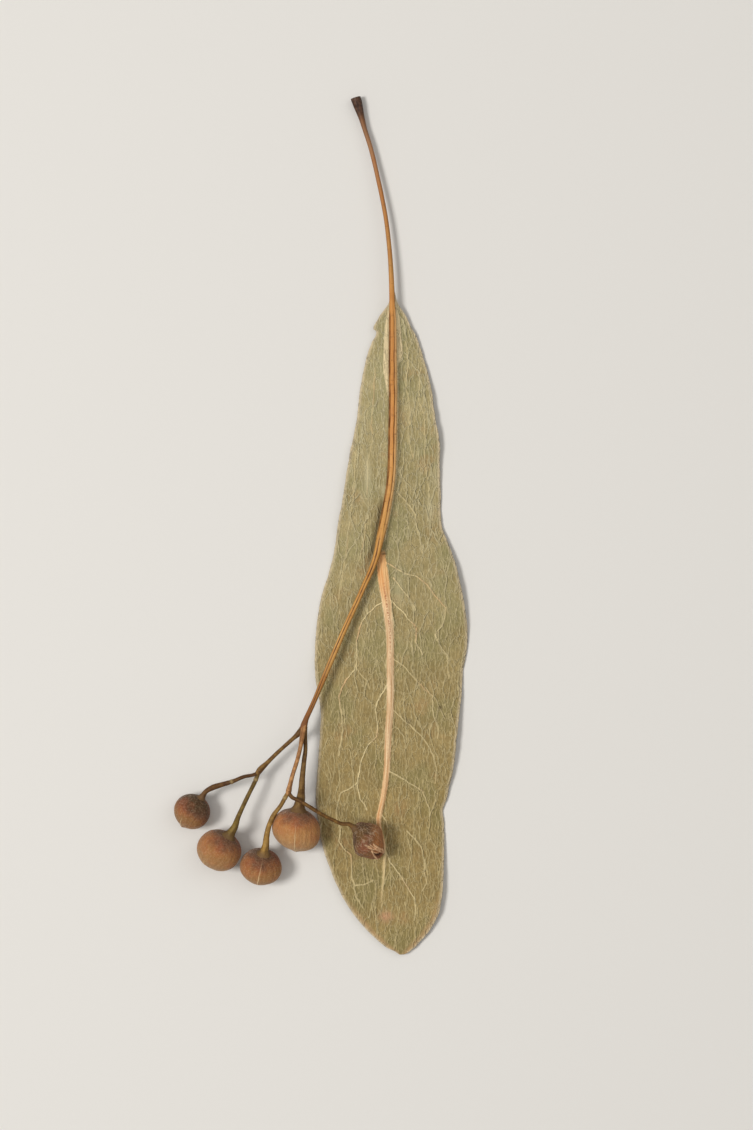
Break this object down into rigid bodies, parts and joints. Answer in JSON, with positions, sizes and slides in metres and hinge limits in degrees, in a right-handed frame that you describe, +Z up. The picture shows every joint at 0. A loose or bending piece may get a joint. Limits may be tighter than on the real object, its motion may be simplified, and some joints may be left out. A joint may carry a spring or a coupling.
{
  "type": "linden fruit cluster",
  "caption": "Cut and dried linden fruit cluster lying flat: a papery tongue-shaped bract on a forked stalk with small felted nutlets.",
  "frame": {"origin": "under the middle of the cluster's outline, on the surface that it lies on", "axes": "+Z up, +Y along the cluster towards the stalk's foot, +X to the right as seen from above with the foot at the top"},
  "size_m": [0.0278, 0.0816, 0.0043],
  "materials": {
    "stalk": "smooth dry stem, orange-brown with darker grooves",
    "bract": "papery, matt, olive-beige with a fine net of paler veins",
    "twig": "thin dry stem, greenish brown with dark specks",
    "nutlet": "short felt, orange-brown, darker towards the stalk",
    "shrivelled_nutlet": "wrinkled and felted, purple-brown with pale lips round its open mouth"
  },
  "bodies": {
    "root": {"peduncle": "stalk", "bract": "bract", "branch_left": "twig", "branch_middle": "twig", "pedicel_1": "twig", "pedicel_2": "twig", "pedicel_3": "twig", "pedicel_4": "twig", "pedicel_5": "twig", "fruit_1": "nutlet", "fruit_2": "nutlet", "fruit_3": "nutlet", "fruit_4": "nutlet", "fruit_5": "shrivelled_nutlet"}
  },
  "joints": []
}
